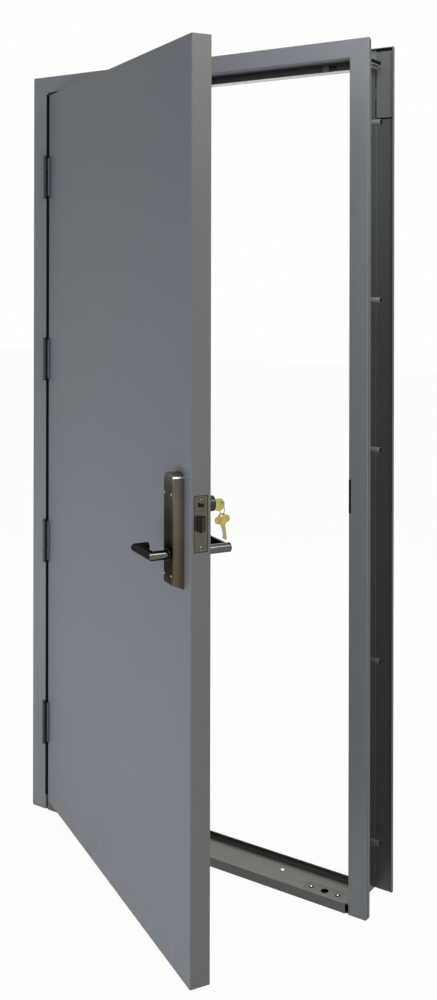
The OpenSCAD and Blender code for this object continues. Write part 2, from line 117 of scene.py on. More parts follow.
def addCamera(settings):
    bpy.ops.object.camera_add(
        location=settings["place"],
        rotation=(math.pi / 2, settings["roll"], settings["heading"]),
    )
    camera = bpy.context.object
    camera.data.lens = settings["lens"]
    camera.data.sensor_width = 36
    camera.data.shift_y = settings["shiftY"]
    camera.data.clip_start = 0.05
    scene.camera = camera


addCamera(cameraSettings)

# ---- node helpers ----


# Gives a socket a link, a colour or a plain value
def feed(tree, socket, value):
    if isinstance(value, bpy.types.NodeSocket):
        tree.links.new(value, socket)
    elif socket.type == "RGBA":
        socket.default_value = (*value, 1.0)
    else:
        socket.default_value = value


def addNode(tree, kind, values=(), **options):
    node = tree.nodes.new("ShaderNode" + kind)
    for label, option in options.items():
        setattr(node, label, option)
    for label, value in dict(values).items():
        feed(tree, node.inputs[label], value)
    return node


def objectPlace(tree):
    return addNode(tree, "TexCoord").outputs["Object"]


def addMath(tree, operation, *values):
    return addNode(tree, "Math", enumerate(values), operation=operation).outputs[0]


def addNoise(tree, vector, scale, detail, rough):
    values = {"Vector": vector, "Scale": scale, "Detail": detail, "Roughness": rough}
    return addNode(tree, "TexNoise", values).outputs["Fac"]


def addRamp(tree, value, low, high, kind="SMOOTHSTEP"):
    values = {"Value": value, "From Min": low, "From Max": high}
    return addNode(tree, "MapRange", values, interpolation_type=kind).outputs["Result"]


def mixColours(tree, factor, a, b):
    return addNode(tree, "Mix", {0: factor, 6: a, 7: b}, data_type="RGBA").outputs[2]


def scaleColour(tree, colour, value):
    return addNode(tree, "VectorMath", {0: colour, "Scale": value}, operation="SCALE").outputs[0]


def addBump(tree, shader, height, strength, distance):
    values = {"Height": height, "Strength": strength, "Distance": distance}
    feed(tree, shader.inputs["Normal"], addNode(tree, "Bump", values).outputs["Normal"])


# A noise as a factor round 1
def addSwing(tree, noise, depth):
    centred = addMath(tree, "SUBTRACT", noise, 0.5)
    return addMath(tree, "ADD", addMath(tree, "MULTIPLY", centred, depth), 1.0)


def addBetween(tree, value, low, high):
    above = addMath(tree, "GREATER_THAN", value, low)
    return addMath(tree, "MULTIPLY", above, addMath(tree, "LESS_THAN", value, high))


def newGroup(name, inputs, outputs):
    group = bpy.data.node_groups.new(name, "ShaderNodeTree")
    for label, value in inputs.items():
        kind = "NodeSocketVector" if isinstance(value, tuple) else "NodeSocketFloat"
        socket = group.interface.new_socket(name=label, in_out="INPUT", socket_type=kind)
        socket.default_value = value
    for label in outputs:
        group.interface.new_socket(name=label, in_out="OUTPUT", socket_type="NodeSocketFloat")
    start = group.nodes.new("NodeGroupInput")
    end = group.nodes.new("NodeGroupOutput")
    return group, start.outputs, end.inputs


# Slow light and dark drift over a surface
def makeDriftGroup():
    group, start, end = newGroup("slowDrift", {"Scale": 3.0, "Depth": 0.1}, ["Value"])
    wide = addNoise(group, objectPlace(group), start["Scale"], 3.0, 0.55)
    feed(group, end["Value"], addSwing(group, wide, start["Depth"]))
    return group


# Fine lines along one axis, as rolling or grinding leaves them
def makeGrainGroup():
    inputs = {"Stretch": (400.0, 400.0, 6.0), "Depth": 0.2}
    group, start, end = newGroup("metalGrain", inputs, ["Value", "Height"])
    vectors = {0: objectPlace(group), 1: start["Stretch"]}
    scaled = addNode(group, "VectorMath", vectors, operation="MULTIPLY").outputs[0]
    lines = addNoise(group, scaled, 1.0, 4.0, 0.6)
    feed(group, end["Value"], addSwing(group, lines, start["Depth"]))
    feed(group, end["Height"], lines)
    return group


# Dust and scuffs: strongest at the foot and fading up to a height
def makeScuffGroup():
    group, start, end = newGroup("lowScuff", {"To": 0.3, "Scale": 30.0}, ["Mask"])
    place = objectPlace(group)
    height = addNode(group, "SeparateXYZ", {0: place}).outputs["Z"]
    near = addRamp(group, height, start["To"], 0.0)
    spots = addNoise(group, place, start["Scale"], 5.0, 0.7)
    feed(group, end["Mask"], addMath(group, "MULTIPLY", near, addRamp(group, spots, 0.45, 0.7)))
    return group


# The hollow side of a jamb, where painted shade goes: 1 inside the fold, 0 on the faces that show
def makeHollowGroup():
    labels = ("Outer", "Face", "Stop", "Front", "Rear", "Stop Front", "Stop Rear")
    group, start, end = newGroup("hollowSide", dict.fromkeys(labels, 0.0), ["Mask"])
    split = addNode(group, "SeparateXYZ", {0: objectPlace(group)}).outputs
    side = addMath(group, "ABSOLUTE", split["X"])
    folds = []
    for inner, front, rear in (("Face", "Front", "Rear"), ("Stop", "Stop Front", "Stop Rear")):
        across = addBetween(group, side, start[inner], start["Outer"])
        deep = addBetween(group, split["Y"], start[front], start[rear])
        folds.append(addMath(group, "MULTIPLY", across, deep))
    feed(group, end["Mask"], addMath(group, "MAXIMUM", *folds))
    return group


# 0 on one side of a plane and 1 on the other, over a soft width
def makePlaneGroup():
    inputs = {"Towards": (0.0, 0.0, 1.0), "From": 0.0, "To": 0.01}
    group, start, end = newGroup("planeMask", inputs, ["Mask"])
    vectors = {0: objectPlace(group), 1: start["Towards"]}
    along = addNode(group, "VectorMath", vectors, operation="DOT_PRODUCT").outputs["Value"]
    feed(group, end["Mask"], addRamp(group, along, start["From"], start["To"]))
    return group


driftGroup = makeDriftGroup()
grainGroup = makeGrainGroup()
scuffGroup = makeScuffGroup()
hollowGroup = makeHollowGroup()
planeGroup = makePlaneGroup()


def useGroup(tree, group, **values):
    return addNode(tree, "Group", values, node_tree=group).outputs


# A plane across one axis that a zone starts at, and the place past it where the zone is full
def axisPlane(axis, start, full):
    way = 1 if full > start else -1
    towards = tuple(way if label == axis else 0 for label in "xyz")
    return towards, way * start, way * full


# A plane at each of the two distances from a place on an axis
def planeFrom(axis, place, distances):
    return axisPlane(axis, *[place + distance for distance in distances])


# A zone by two heights measured from a base
def heightZone(start, full, colour, base=0.0):
    return {"planes": [axisPlane("z", base + start, base + full)], "colour": colour}


# The part of a surface that lies past every plane
def planesMask(tree, planes):
    mask = None
    for towards, start, full in planes:
        past = useGroup(tree, planeGroup, Towards=towards, From=start, To=full)["Mask"]
        mask = past if mask is None else addMath(tree, "MULTIPLY", mask, past)
    return mask


def addZones(tree, colour, value, settings):
    for zone in settings.get("zones", ()):
        shaded = scaleColour(tree, zone["colour"], value)
        colour = mixColours(tree, planesMask(tree, zone["planes"]), colour, shaded)
    return colour


def addRoughness(tree, shader, value, settings):
    swing = settings["roughSwing"]
    rough = addMath(tree, "MULTIPLY", value, swing)
    feed(tree, shader.inputs["Roughness"], addMath(tree, "ADD", rough, settings["roughness"] - swing / 2))


def newMaterial(name, roughness, metallic, specular=0.5):
    material = bpy.data.materials.new(name)
    material.use_nodes = True
    tree = material.node_tree
    shader = tree.nodes["Principled BSDF"]
    values = {"Roughness": roughness, "Metallic": metallic, "Specular IOR Level": specular}
    for label, value in values.items():
        shader.inputs[label].default_value = value
    return material, tree, shader


def makePaint(name, look, **changes):
    settings = {**look, **changes}
    material, tree, shader = newMaterial(name, settings["roughness"], 0.0, settings["gloss"])
    drift = useGroup(tree, driftGroup, Scale=settings["driftScale"], Depth=settings["drift"])["Value"]
    colour = scaleColour(tree, settings["colour"], drift)
    scuff = useGroup(tree, scuffGroup, To=settings["scuffTop"], Scale=settings["scuffScale"])["Mask"]
    mask = addMath(tree, "MULTIPLY", scuff, settings["scuff"])
    colour = mixColours(tree, mask, colour, settings["dust"])
    # Inside the jamb's fold the paint is darkened: painted shade with some grime, and deeper painted shade
    # towards the bottom
    if "hollow" in settings:
        low = planesMask(tree, [axisPlane("z", *settings["insideShadeFade"])])
        inside = mixColours(tree, low, settings["inside"], settings["insideShadeLow"])
        inside = scaleColour(tree, inside, drift)
        hollow = useGroup(tree, hollowGroup, **settings["hollow"])["Mask"]
        colour = mixColours(tree, hollow, colour, inside)
    colour = addZones(tree, colour, drift, settings)
    feed(tree, shader.inputs["Base Color"], colour)
    skin = addNoise(tree, objectPlace(tree), settings["skinScale"], 2.0, 0.5)
    addBump(tree, shader, skin, settings["skin"], settings["skinDepth"])
    addRoughness(tree, shader, addRamp(tree, skin, *settings["skinRange"], "LINEAR"), settings)
    return material


def makeMetal(name, look, **changes):
    settings = {**look, **changes}
    material, tree, shader = newMaterial(name, settings["roughness"], settings["metallic"])
    grain = useGroup(tree, grainGroup, Stretch=settings["stretch"], Depth=settings["grain"])
    drift = useGroup(tree, driftGroup, Scale=settings["driftScale"], Depth=settings["drift"])["Value"]
    value = addMath(tree, "MULTIPLY", grain["Value"], drift)
    colour = scaleColour(tree, settings["colour"], value)
    if "tarnish" in settings:
        spots = addNoise(tree, objectPlace(tree), settings["tarnishScale"], 5.0, 0.65)
        mask = addRamp(tree, spots, *settings["tarnishRange"])
        mask = addMath(tree, "MULTIPLY", mask, settings["tarnish"])
        colour = mixColours(tree, mask, colour, settings["tarnishColour"])
    colour = addZones(tree, colour, value, settings)
    feed(tree, shader.inputs["Base Color"], colour)
    feed(tree, shader.inputs["Specular Tint"], [settings["edge"]] * 3)
    addRoughness(tree, shader, grain["Height"], settings)
    addBump(tree, shader, grain["Height"], settings["bump"], settings["bumpDepth"])
    return material


paintSettings = {
    "colour": (0.145, 0.162, 0.184),
    "dust": (0.22, 0.235, 0.245),
    "roughness": 0.46,
    "roughSwing": 0.10,
    "gloss": 0.45,
    "drift": 0.10,
    "driftScale": 2.2,
    "scuff": 0.25,
    "scuffTop": 0.35,
    "scuffScale": 26.0,
    "skin": 0.12,
    "skinScale": 420.0,
    "skinRange": (0.2, 0.8),
    "skinDepth": 0.0004,
}
metalBase = {
    "edge": 1.0,
    "roughness": 0.34,
    "roughSwing": 0.16,
    "metallic": 1.0,
    "stretch": (30.0, 500.0, 500.0),
    "grain": 0.3,
    "drift": 0.15,
    "driftScale": 20.0,
    "tarnishRange": (0.42, 0.68),
    "bump": 0.10,
    "bumpDepth": 0.0003,
}

# ---- paint of the leaf ----

hingeNumbers = ("1", "2", "3", "4")
# Painted shade on the leaf: its upper part and the top of its lock edge are painted darker; the lock edge's
# colour is partly its own warmer tone and partly painted shade against the lamps
leafZoneSettings = {
    "upper": (1.45, 2.05),
    "upperColour": (0.121, 0.136, 0.157),
    "edgeDepth": (-0.0012, -0.0004),
    "edgeToneAndShadeColour": (0.134, 0.139, 0.136),
    "upperEdge": (1.2, 1.9),
    "upperEdgeColour": (0.110, 0.114, 0.112),
    "hingeShadowAcross": (-0.024, -0.008),
    "hingeShadowHalf": (0.064, 0.058),
    "hingeShadowColour": (0.048, 0.052, 0.066),
}


# Painted shadow of each hinge on the leaf beside it
def hingeShadowZone(number, settings):
    low, high = shutBox("door_hinge_" + number)
    middle = (low.z + high.z) / 2
    start, full = settings["hingeShadowHalf"]
    beside = leafPlane((-1, 0, 0), (leafLow.x, 0, 0), *settings["hingeShadowAcross"])
    above = axisPlane("z", middle - start, middle - full)
    below = axisPlane("z", middle + start, middle + full)
    return {"planes": [beside, above, below], "colour": settings["hingeShadowColour"]}


def leafZones(settings):
    edge = leafPlane((1, 0, 0), (leafHigh.x, 0, 0), *settings["edgeDepth"])
    upperEdge = axisPlane("z", *settings["upperEdge"])
    return [
        heightZone(*settings["upper"], settings["upperColour"]),
        {"planes": [edge], "colour": settings["edgeToneAndShadeColour"]},
        {"planes": [edge, upperEdge], "colour": settings["upperEdgeColour"]},
        *[hingeShadowZone(number, settings) for number in hingeNumbers],
    ]


leafLook = {**paintSettings, "gloss": 0.16}
leafPaint = makePaint("leafPaint", leafLook, zones=leafZones(leafZoneSettings))
plainPaint = makePaint("plainPaint", leafLook)

# ---- paint of the frame ----

frameLook = {**paintSettings, "roughness": 0.38, "gloss": 0.42, "scuff": 0.3}
jambLook = {
    **frameLook,
    # Colours inside the fold: painted shade with some grime, darker towards the bottom
    "inside": (0.075, 0.080, 0.080),
    "insideShadeLow": (0.052, 0.055, 0.055),
    "insideShadeFade": (2.0, 1.3),
    "hollow": {
        "Outer": halfWidth + halfSheet,
        "Face": faceX + halfSheet,
        "Stop": stopX + halfSheet,
        "Front": frontY + halfSheet,
        "Rear": rearY - halfSheet,
        "Stop Front": sealHigh.y + halfSheet,
        "Stop Rear": sealHigh.y + stopWidth - halfSheet,
    },
}
frameZoneSettings = {
    "barrelAcross": (-0.005, 0.0035),
    "barrelFront": (-0.0006, -0.0012),
    "barrelShadeColour": (0.014, 0.016, 0.022),
    "soffitTop": (0.053, 0.051),
    "soffitFront": (0.003, 0.040),
    "soffitRear": (0.0025, 0.0005),
    "soffitShadeColour": (0.050, 0.053, 0.056),
}


# Painted shade on one side of the hinge barrels
def barrelShadeZone(settings):
    across = planeFrom("x", pin.x, settings["barrelAcross"])
    front = planeFrom("y", frontY, settings["barrelFront"])
    return {"planes": [across, front], "colour": settings["barrelShadeColour"]}


# Painted shade on the underside of the head in front of its stop, and on the stop's front
def soffitShadeZone(settings):
    under = planeFrom("z", headLow.z, settings["soffitTop"])
    front = planeFrom("y", frontY, settings["soffitFront"])
    rear = planeFrom("y", sealHigh.y, settings["soffitRear"])
    return {"planes": [under, front, rear], "colour": settings["soffitShadeColour"]}


framePaint = makePaint("framePaint", jambLook, zones=[barrelShadeZone(frameZoneSettings)])
strikePaint = makePaint("strikePaint", jambLook, colour=(0.150, 0.162, 0.168))
headPaint = makePaint("headPaint", frameLook, scuff=0.0, zones=[soffitShadeZone(frameZoneSettings)])

# ---- throat, seals and core ----

primerCoat = makePaint(
    "primerCoat",
    paintSettings,
    colour=(0.116, 0.122, 0.117),
    roughness=0.6,
    gloss=0.3,
    drift=0.3,
    driftScale=14.0,
)
sleeveSteel = makePaint(
    "sleeveSteel",
    paintSettings,
    colour=(0.165, 0.170, 0.172),
    roughness=0.5,
    gloss=0.35,
    drift=0.4,
    driftScale=30.0,
    # painted shade in the throat, darker towards the bottom
    zones=[heightZone(1.6, 0.5, (0.070, 0.073, 0.074))],
)
rubberLook = {
    **paintSettings,
    "colour": (0.018, 0.018, 0.019),
    "dust": (0.08, 0.08, 0.075),
    "roughness": 0.7,
}
sealRubber = makePaint("sealRubber", rubberLook)
headSealZone = heightZone(-0.006, -0.002, (0.050, 0.050, 0.054), headLow.z)
stopRubber = makePaint("stopRubber", rubberLook, zones=[headSealZone])
# Near-black for the hinge edge seal's rubber, darkened to paint the shade of its gap, and for painted shade
# in sleeve bores, throat slots and corners, and screw dishes
rubberAndShadeBlack = makePaint(
    "rubberAndShadeBlack",
    paintSettings,
    colour=(0.003, 0.0033, 0.0048),
    roughness=0.8,
    gloss=0.1,
    scuff=0.0,
)
boardCore = makePaint(
    "boardCore",
    paintSettings,
    colour=(0.42, 0.34, 0.22),
    roughness=0.8,
    gloss=0.2,
    drift=0.3,
    driftScale=60.0,
)

# ---- sill and steel ----

sillLook = {
    **metalBase,
    "colour": (0.064, 0.062, 0.052),
    "stretch": (7.0, 160.0, 160.0),
    "grain": 0.35,
    "metallic": 0.7,
    "roughness": 0.5,
    "tarnish": 0.3,
    "tarnishScale": 9.0,
    "tarnishColour": (0.044, 0.041, 0.032),
}
# Painted light: the sill's front face is painted lighter than its tread
sillFrontLightZone = {"planes": [planeFrom("y", frontY, (0.001, 0.0003))], "colour": (0.098, 0.097, 0.090)}
sillMetal = makeMetal("sillMetal", sillLook, zones=[sillFrontLightZone])
plainSteel = makeMetal("plainSteel", metalBase, colour=(0.46, 0.46, 0.45))
brightSteel = makeMetal("brightSteel", metalBase, colour=(0.75, 0.74, 0.72), roughness=0.22)
ringSteel = makeMetal("ringSteel", metalBase, colour=(0.20, 0.21, 0.19))
dullSteel = makeMetal("dullSteel", metalBase, colour=(0.42, 0.41, 0.38))
# Black steel for dark parts, and for painted shade in screw recesses and dishes, gaps, slots, corners and a
# notch
blackSteelAndShade = makeMetal("blackSteelAndShade", metalBase, colour=(0.016, 0.015, 0.014), roughness=0.45)
strikeMetal = makeMetal("strikeMetal", metalBase, colour=(0.110, 0.112, 0.112), metallic=0.8, roughness=0.5)
darkStrike = makeMetal("darkStrike", metalBase, colour=(0.036, 0.035, 0.030), metallic=0.8, roughness=0.45)

# ---- bronze of the lock set ----

bronzeLook = {
    **metalBase,
    "edge": 0.55,
    "colour": (0.118, 0.094, 0.076),
    "stretch": (500.0, 500.0, 18.0),
    "roughness": 0.25,
    "tarnish": 0.4,
    "tarnishScale": 25.0,
    "tarnishColour": (0.085, 0.062, 0.045),
}
foot, top = (corner.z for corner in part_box("front_housing"))
satinBronze = makeMetal(
    "satinBronze",
    bronzeLook,
    metallic=0.5,
    # Painted reflection and shade by height: a darker, browner band at the foot and a greyer band at the top
    zones=[
        heightZone(0.16, 0.08, (0.092, 0.070, 0.050), foot),
        heightZone(-0.06, -0.02, (0.095, 0.088, 0.077), top),
    ],
)
housingFace = makeMetal(
    "housingFace",
    bronzeLook,
    colour=(0.024, 0.024, 0.016),
    tarnishColour=(0.019, 0.019, 0.013),
    roughness=0.34,
    edge=0.48,
    # Painted light and shade by height: darker and browner bands low down, a lighter one at the very foot,
    # and lighter bands at the top
    zones=[
        heightZone(0.12, 0.09, (0.014, 0.013, 0.010), foot),
        heightZone(0.08, 0.06, (0.024, 0.018, 0.013), foot),
        heightZone(0.04, 0.01, (0.046, 0.036, 0.026), foot),
        heightZone(-0.12, -0.04, (0.058, 0.058, 0.047), top),
        heightZone(-0.03, -0.005, (0.100, 0.103, 0.093), top),
    ],
)
# A painted highlight for the upper corner round of the housings
housingGlint = makeMetal("housingGlint", metalBase, colour=(0.90, 0.89, 0.86), roughness=0.2)
faceplateBronze = makeMetal(
    "faceplateBronze",
    bronzeLook,
    colour=(0.118, 0.106, 0.084),
    tarnishColour=(0.096, 0.080, 0.062),
    tarnishScale=60.0,
)
collarBronze = makeMetal(
    "collarBronze",
    bronzeLook,
    colour=(0.052, 0.050, 0.038),
    tarnishColour=(0.038, 0.036, 0.024),
)
darkBronze = makeMetal(
    "darkBronze",
    metalBase,
    colour=(0.019, 0.016, 0.010),
    roughness=0.40,
    stretch=(500.0, 500.0, 22.0),
)

# ---- metal of the levers ----

leverLook = {
    **metalBase,
    "colour": (0.105, 0.108, 0.096),
    "edge": 0.42,
    "roughness": 0.16,
    "bump": 0.02,
    "stretch": (500.0, 500.0, 500.0),
    "tipShadeColour": (0.042, 0.043, 0.044),
    "zoneHalf": 0.0003,
}


# A satin lever with painted shade: its arm and its return are painted darker than its neck
def makeLeverMetalWithShade(name, node, outward, armShadeColour, look):
    low, high = shutBox(node)
    radius = (high.z - low.z) / 2
    outer = low.y + radius if outward < 0 else high.y - radius
    half = look["zoneHalf"]
    arm = leafPlane((-1, outward, 0), (high.x - radius, outer, 0), -half, half)
    tip = leafPlane((-1, -outward, 0), (low.x + radius, outer, 0), -half, half)
    zones = [{"planes": [arm], "colour": armShadeColour}, {"planes": [tip], "colour": look["tipShadeColour"]}]
    return makeMetal(name, look, zones=zones)


frontLeverMetal = makeLeverMetalWithShade("frontLeverMetal", "front_lever", -1, (0.034, 0.035, 0.034), leverLook)
backLeverMetal = makeLeverMetalWithShade("backLeverMetal", "back_lever", 1, (0.014, 0.014, 0.013), leverLook)

# ---- brass of the keys ----

brassLook = {
    **metalBase,
    "metallic": 0.75,
    "roughness": 0.32,
    "tarnish": 0.8,
    "tarnishScale": 120.0,
}
keyBrass = makeMetal("keyBrass", brassLook, colour=(0.52, 0.48, 0.16), tarnishColour=(0.33, 0.29, 0.09))
bladeZone = heightZone(0.036, 0.028, (0.36, 0.33, 0.15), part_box("spare_key")[0].z)
spareBrass = makeMetal(
    "spareBrass",
    brassLook,
    colour=(0.50, 0.42, 0.13),
    tarnishColour=(0.40, 0.25, 0.07),
    zones=[bladeZone],
)

# ---- which piece has which ----

finishes = {
    "head": headPaint,
    "hinge_jamb": framePaint,
    "strike_jamb": strikePaint,
    "sill": sillMetal,
    "hinge_jamb_anchors": primerCoat,
    "strike_jamb_anchors": primerCoat,
    "hinge_corner_gusset": primerCoat,
    "strike_corner_gusset": primerCoat,
    "stop_seal": stopRubber,
    "strike_plate": blackSteelAndShade,
    "strike_box": sealRubber,
    "head_strike": strikeMetal,
    "sill_strike": darkStrike,
    "leaf_core": boardCore,
    "lock_body": faceplateBronze,
    "top_rod_bolt": plainSteel,
    "bottom_rod_bolt": plainSteel,
    "front_housing": satinBronze,
    "back_housing": satinBronze,
    "lock_cylinder": collarBronze,
    "front_lever": frontLeverMetal,
    "back_lever": backLeverMetal,
    "latch_bolt": darkBronze,
    "aux_latch": darkBronze,
    "key": keyBrass,
    "spare_key": spareBrass,
    "key_ring": ringSteel,
}


def finishOf(name):
    onHinge = name.startswith(("hinge_pin", "frame_hinge", "door_hinge"))
    return finishes.get(name, framePaint if onHinge else leafPaint)


for name, part in nodes.items():
    part.data.materials.clear()
    part.data.materials.append(finishOf(name))
print("materials given to the carried pieces")

# ---- modelling helpers ----

smoothAngle = math.radians(40)
cornerAngle = 50


def setMode(mode):
    bpy.ops.object.mode_set(mode=mode)


def deselectAll():
    if bpy.context.object and bpy.context.object.mode != "OBJECT":
        setMode("OBJECT")
    bpy.ops.object.select_all(action="DESELECT")


def makeActive(piece):
    deselectAll()
    piece.select_set(True)
    bpy.context.view_layer.objects.active = piece


def keepPlace(name):
    piece = bpy.context.object
    piece.name = name
    makeActive(piece)
    bpy.ops.object.transform_apply(location=True, rotation=True, scale=True)
    return piece


def applyModifier(piece, kind, **values):
    makeActive(piece)
    modifier = piece.modifiers.new("change", kind)
    for label, value in values.items():
        setattr(modifier, label, value)
    bpy.ops.object.modifier_apply(modifier=modifier.name)


def applyBevel(piece, width, segments=2, angle=30):
    limit = {"limit_method": "ANGLE", "angle_limit": math.radians(angle)}
    applyModifier(piece, "BEVEL", width=width, segments=segments, **limit)
    bpy.ops.object.shade_smooth_by_angle(angle=smoothAngle)


def subtract(piece, cutter):
    applyModifier(piece, "BOOLEAN", operation="DIFFERENCE", solver="EXACT", object=cutter)
    bpy.data.objects.remove(cutter)


def startPicking(kind):
    setMode("EDIT")
    bpy.ops.mesh.select_mode(type=kind)
    bpy.ops.mesh.select_all(action="DESELECT")
    setMode("OBJECT")


# Picks the faces of the active piece that pass the test, for the next operator
def pickFaces(piece, test):
    startPicking("FACE")
    for face in piece.data.polygons:
        face.select = test(face)
    setMode("EDIT")


# Picks its edges, by a test on both ends of each
def pickEdges(piece, test):
    startPicking("EDGE")
    points = piece.data.vertices
    for edge in piece.data.edges:
        edge.select = test(points[edge.vertices[0]].co, points[edge.vertices[1]].co)
    setMode("EDIT")


def insetFaces(piece, test, rim, depth):
    pickFaces(piece, test)
    bpy.ops.mesh.inset(thickness=rim, depth=depth)
    setMode("OBJECT")


def extrudeFaces(piece, test, move):
    pickFaces(piece, test)
    bpy.ops.mesh.extrude_region_move(TRANSFORM_OT_translate={"value": move})
    setMode("OBJECT")


# Opens a piece between two opposite faces and leaves a wall round the hole
def openThrough(piece, test, wall):
    pickFaces(piece, test)
    bpy.ops.mesh.inset(thickness=wall, use_individual=True)
    bpy.ops.mesh.bridge_edge_loops()
    setMode("OBJECT")


def addBlock(name, low, high, bevel=0.0):
    deselectAll()
    middle = [(a + b) / 2 for a, b in zip(low, high)]
    size = [b - a for a, b in zip(low, high)]
    bpy.ops.mesh.primitive_cube_add(size=1, location=middle)
    bpy.context.object.scale = size
    piece = keepPlace(name)
    if bevel:
        applyBevel(piece, bevel)
    return piece


def addCylinder(name, radius, depth, sides):
    deselectAll()
    middle = (0, 0, depth / 2)
    bpy.ops.mesh.primitive_cylinder_add(vertices=sides, radius=radius, depth=depth, location=middle)
    return keepPlace(name)


# A turned disc at the origin with its axis along Z, its top face inset and pushed in; the pieces
# that give its measures as one row give them in this order
def addDisc(name, radius, depth, rim, sink, sides=32, bevel=0.0):
    piece = addCylinder(name, radius, depth, sides)
    insetFaces(piece, lambda face: face.normal.z > 0.9, rim, -sink)
    if bevel:
        applyBevel(piece, bevel, 2, cornerAngle)
    return piece


# A ring at the origin with its axis along Z
def addRing(name, outer, inner, depth, bevel, sides=40):
    piece = addCylinder(name, outer, depth, sides)
    openThrough(piece, lambda face: abs(face.normal.z) > 0.9, outer - inner)
    applyBevel(piece, bevel, 2, cornerAngle)
    return piece


# Moves a piece from the origin to its place, its +Z towards the direction
def setPiece(piece, place, direction, spin=0.0):
    turn = Vector(direction).to_track_quat("Z", "Y").to_matrix().to_4x4()
    piece.data.transform(Matrix.Translation(place) @ turn @ Matrix.Rotation(spin, 4, "Z"))


# Every moving body rides on the leaf, so its pieces are made with the leaf shut and swung open
def finishPiece(piece, material, body):
    if body != "frame":
        piece.data.transform(toOpen)
    if material:
        piece.data.materials.clear()
        piece.data.materials.append(material)
    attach(piece, body)


# ---- screws ----

# Lengths are shares of the head's radius; the recess width goes by the head's diameter in mm
screwShape = {
    "height": 0.5,
    "rim": 0.14,
    "dome": 0.12,
    "recessReach": 0.70,
    "recessFloor": 0.05,
    "recessWidth": {5: 0.20, 8: 0.42, 9: 0.20},
    "shadeReach": 0.72,
    "shadeTop": 0.2,
    "bevel": 0.04,
    "sides": 24,
}


# A countersunk screw with a cross recess, its head up at the origin
def modelScrew(size, shape):
    radius = size / 2000
    deselectAll()
    height = radius * shape["height"]
    bpy.ops.mesh.primitive_cylinder_add(vertices=shape["sides"], radius=radius, depth=height)
    screw = bpy.context.object
    insetFaces(screw, lambda face: face.normal.z > 0.9, radius * shape["rim"], radius * shape["dome"])
    reach = radius * shape["recessReach"]
    half = radius * shape["recessWidth"][size]
    for turn in (0, math.pi / 2):
        arm = addBlock("arm", (-reach, -half, radius * shape["recessFloor"]), (reach, half, radius))
        arm.data.transform(Matrix.Rotation(turn, 4, "Z"))
        subtract(screw, arm)
    applyBevel(screw, radius * shape["bevel"], 1, cornerAngle)
    screw.data.materials.append(plainSteel)
    screw.data.materials.append(blackSteelAndShade)
    # Faces deep in the cross recess get black steel as painted shade
    for face in screw.data.polygons:
        inner = math.hypot(face.center.x, face.center.y) < radius * shape["shadeReach"]
        low = face.center.z < radius * shape["shadeTop"] and face.normal.z > -0.5
        face.material_index = int(inner and low)
    return screw


screwModels = {size: modelScrew(size, screwShape) for size in screwShape["recessWidth"]}


# A screw of one size at its place, its head towards the direction
def addScrew(name, size, place, direction, spin, material, body):
    screw = screwModels[size].copy()
    screw.data = screw.data.copy()
    screw.name = name
    screw.data.materials[0] = material
    scene.collection.objects.link(screw)
    setPiece(screw, place, direction, spin)
    finishPiece(screw, None, body)


# ---- lever housings ----

housingSettings = {
    "corner": 0.017,
    "cornerSegments": 8,
    "edge": 0.004,
    "edgeSegments": 4,
    "slant": 0.4,
    "near": 0.0001,
    "frontFrom": 0.4,
    "glintOutward": 0.7,
    "glintAcross": (0.85, 0.91),
    "glintUpward": 0.1,
    "smooth": math.radians(35),
    "screwSize": 5,
    "screwSide": 0.018,
    "screwFromTop": 0.046,
    "screwFromFoot": 0.031,
    "screwSpin": 0.4,
    "neckGap": 0.0001,
    "neckRing": 0.0032,
    "neckRingDepth": 0.0022,
    "neckRingBevel": 0.0007,
}


# A pressed housing: a block with a slanted foot, round upper corners and soft front edges
def modelHousing(name, node, outward, settings):
    low, high = shutBox(node)
    piece = addBlock(name, low, high)
    frontAt = low.y if outward < 0 else high.y
    near = settings["near"]
    slant = settings["slant"] * (high.y - low.y)
    topZ = high.z - 10 * near
    footZ = low.z + slant + 20 * near

    def onFront(point):
        return abs(point.y - frontAt) < near

    def alongTop(a, b):
        return min(a.z, b.z) > topZ and abs(a.x - b.x) < near

    def roundFront(a, b):
        return onFront(a) and onFront(b) and max(a.z, b.z) > footZ

    for point in piece.data.vertices:
        if onFront(point.co) and point.co.z < low.z + 10 * near:
            point.co.z += slant
    pickEdges(piece, alongTop)
    bpy.ops.mesh.bevel(offset=settings["corner"], segments=settings["cornerSegments"], affect="EDGES")
    pickEdges(piece, roundFront)
    bpy.ops.mesh.bevel(offset=settings["edge"], segments=settings["edgeSegments"], affect="EDGES")
    bpy.ops.mesh.select_all(action="SELECT")
    bpy.ops.mesh.normals_make_consistent(inside=False)
    setMode("OBJECT")
    for material in (satinBronze, housingFace, housingGlint):
        piece.data.materials.append(material)
    for face in piece.data.polygons:
        normal = face.normal
        outer = normal.y * outward
        face.material_index = int(outer > settings["frontFrom"])
        # Faces on the lock side's upper corner round, at one angle, get the painted highlight
        least, most = [share * math.hypot(normal.x, normal.z) for share in settings["glintAcross"]]
        upward = normal.z > settings["glintUpward"]
        if upward and outer < settings["glintOutward"] and least < normal.x < most:
            face.material_index = 2
    makeActive(piece)
    bpy.ops.object.shade_smooth_by_angle(angle=settings["smooth"])
    finishPiece(piece, None, "leaf")
    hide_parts(node)


